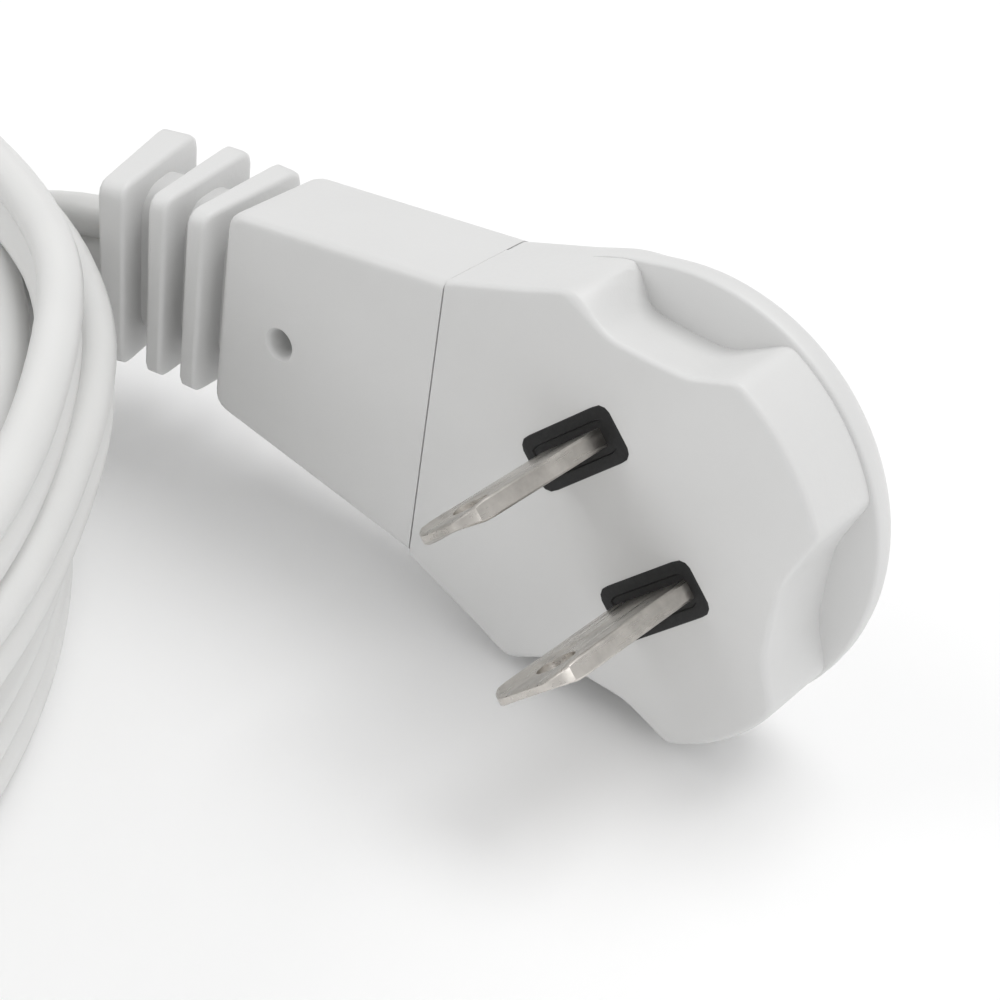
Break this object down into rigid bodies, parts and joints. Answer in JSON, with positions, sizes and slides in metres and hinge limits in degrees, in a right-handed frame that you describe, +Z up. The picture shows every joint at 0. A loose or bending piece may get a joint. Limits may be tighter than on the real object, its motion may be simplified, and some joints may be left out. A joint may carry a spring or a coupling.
{
  "type": "extension cord",
  "caption": "White two-wire extension cord with a flat angled plug, an oval coil of flat twin cord and an outlet block with turning covers.",
  "frame": {"origin": "middle of the plug's footprint, on the surface that the plug's round rim stands on, without the cord and what is on it", "axes": "+X along the plug from the cord to the round head, -Y out of the plug's face, along the blades, +Z up"},
  "size_m": [0.1598, 0.1584, 0.036],
  "materials": {
    "white_pvc": "satin",
    "white_cord": "satin",
    "white_shell": "satin",
    "black_plastic": "matte",
    "nickel_blade": "brushed",
    "brass_strip": "satin",
    "copper_strands": "satin",
    "wire_insulation": "satin",
    "pin_steel": "brushed",
    "tie_black": "matte"
  },
  "bodies": {
    "cord_set": {"head_body": "white_pvc", "back_cover": "white_pvc", "rear_body": "white_pvc", "strain_relief": "white_pvc", "block_relief": "white_pvc", "cord_lead": "white_cord", "cord_coil": "white_cord", "cord_tail": "white_cord", "block_base": "white_shell", "block_top": "white_shell", "blade_carrier": "black_plastic", "bus_tray": "black_plastic", "line_blade": "nickel_blade", "neutral_blade": "nickel_blade", "line_crimp": "brass_strip", "neutral_crimp": "brass_strip", "line_bus": "brass_strip", "neutral_bus": "brass_strip", "line_strands": "copper_strands", "neutral_strands": "copper_strands", "line_insulation": "wire_insulation", "neutral_insulation": "wire_insulation", "line_feed": "wire_insulation", "neutral_feed": "wire_insulation", "cover_pin_1": "pin_steel", "cover_pin_2": "pin_steel", "cover_pin_3": "pin_steel", "block_screws": "pin_steel", "coil_tie": "tie_black"},
    "cover_1": {"outlet_cover_1": "white_shell"},
    "cover_2": {"outlet_cover_2": "white_shell"},
    "cover_3": {"outlet_cover_3": "white_shell"}
  },
  "joints": [
    {"name": "cover_1_turn", "type": "hinge", "parent": "cord_set", "child": "cover_1", "pos_m": [-0.09468, -0.08926, 0.0232], "axis": [0, 0, 1], "range_deg": [0, 90]},
    {"name": "cover_2_turn", "type": "hinge", "parent": "cord_set", "child": "cover_2", "pos_m": [-0.07958, -0.10791, 0.0232], "axis": [0, 0, 1], "range_deg": [0, 90]},
    {"name": "cover_3_turn", "type": "hinge", "parent": "cord_set", "child": "cover_3", "pos_m": [-0.06447, -0.12656, 0.0232], "axis": [0, 0, 1], "range_deg": [0, 90]}
  ]
}
